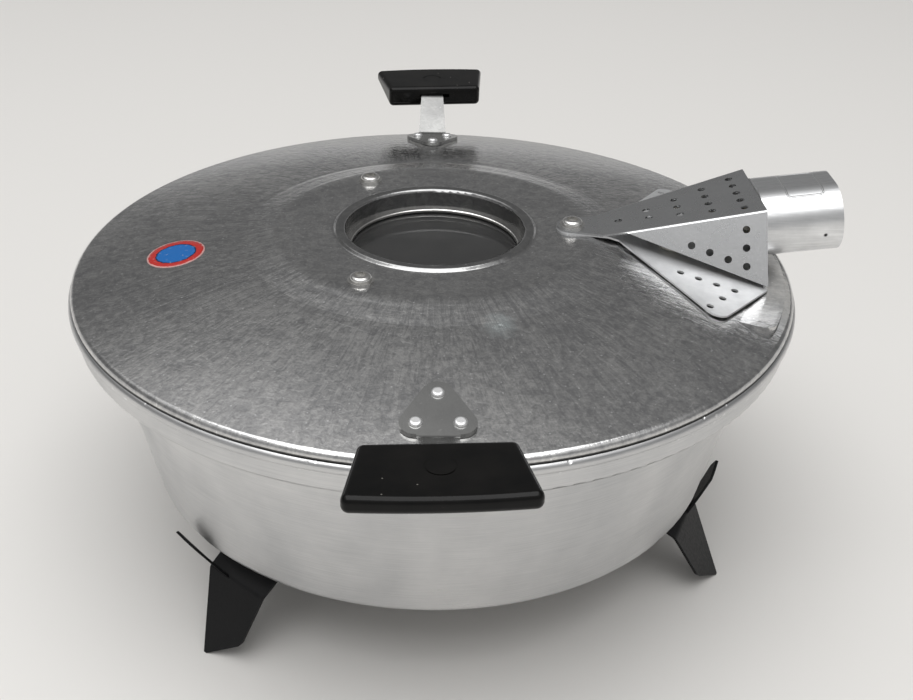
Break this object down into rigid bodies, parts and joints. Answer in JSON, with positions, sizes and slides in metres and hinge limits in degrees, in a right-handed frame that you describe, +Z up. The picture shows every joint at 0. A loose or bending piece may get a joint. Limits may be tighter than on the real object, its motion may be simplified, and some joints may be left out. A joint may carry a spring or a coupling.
{
  "type": "electric baking pan",
  "caption": "Round electric baking pan: aluminium pan on a folded steel stand, with a heated lift-off lid that has a window, two side grips and an appliance inlet.",
  "frame": {"origin": "on the table surface, on the common vertical axis of pan and lid", "axes": "+Z up along the axis of pan and lid; +X towards the appliance inlet; the two grips lie on -Y and +Y, the front one on -Y"},
  "size_m": [0.317, 0.3919, 0.1652],
  "materials": {
    "polished_aluminium": "polished, worn",
    "spun_aluminium": "satin, spun",
    "bright_trim": "bright",
    "seal_rubber": "matte",
    "window_glass": "clear, slightly smoked",
    "plated_steel": "zinc plated",
    "bright_reflector": "bright",
    "element_sheath": "dull, heat darkened",
    "ceramic": "glazed ceramic",
    "lead_sleeve": "matte woven sleeve",
    "bracket_aluminium": "matte",
    "black_bakelite": "gloss",
    "shield_steel": "satin",
    "pin_brass": "nickelled, worn",
    "black_paint": "semi-gloss"
  },
  "bodies": {
    "stand": {"stand_lower_strip": "black_paint", "stand_upper_strip": "black_paint", "stand_rivet": "plated_steel"},
    "pan": {"pan": "spun_aluminium"},
    "lid": {"lid_shell": "polished_aluminium", "window_bezel": "bright_trim", "window_seal": "seal_rubber", "window_glass": "window_glass", "glass_retainer": "plated_steel", "retainer_rivets": "plated_steel", "lid_fixings": "bright_trim", "upper_spacers": "plated_steel", "lower_spacers": "plated_steel", "fixing_nuts": "plated_steel", "reflector": "bright_reflector", "heating_element": "element_sheath", "element_saddles": "ceramic", "heater_guard": "plated_steel", "terminal_studs": "plated_steel", "terminal_bushes": "ceramic", "terminal_nuts": "plated_steel", "heater_leads": "lead_sleeve", "rear_bracket": "bracket_aluminium", "front_bracket": "bracket_aluminium", "rear_bracket_rivets": "bracket_aluminium", "front_bracket_rivets": "bracket_aluminium", "rear_grip": "black_bakelite", "front_grip": "black_bakelite", "rear_grip_screw": "plated_steel", "front_grip_screw": "plated_steel", "upper_shield": "shield_steel", "lower_shield": "shield_steel", "inlet_shroud": "shield_steel", "inlet_plate": "shield_steel", "inlet_insulator": "ceramic", "contact_pins": "pin_brass"}
  },
  "joints": [
    {"name": "pan_lift", "type": "slide", "parent": "stand", "child": "pan", "axis": [0, 0, 1], "range_m": [0, 0.12]},
    {"name": "lid_lift", "type": "slide", "parent": "pan", "child": "lid", "axis": [0, 0, 1], "range_m": [0, 0.16]}
  ]
}
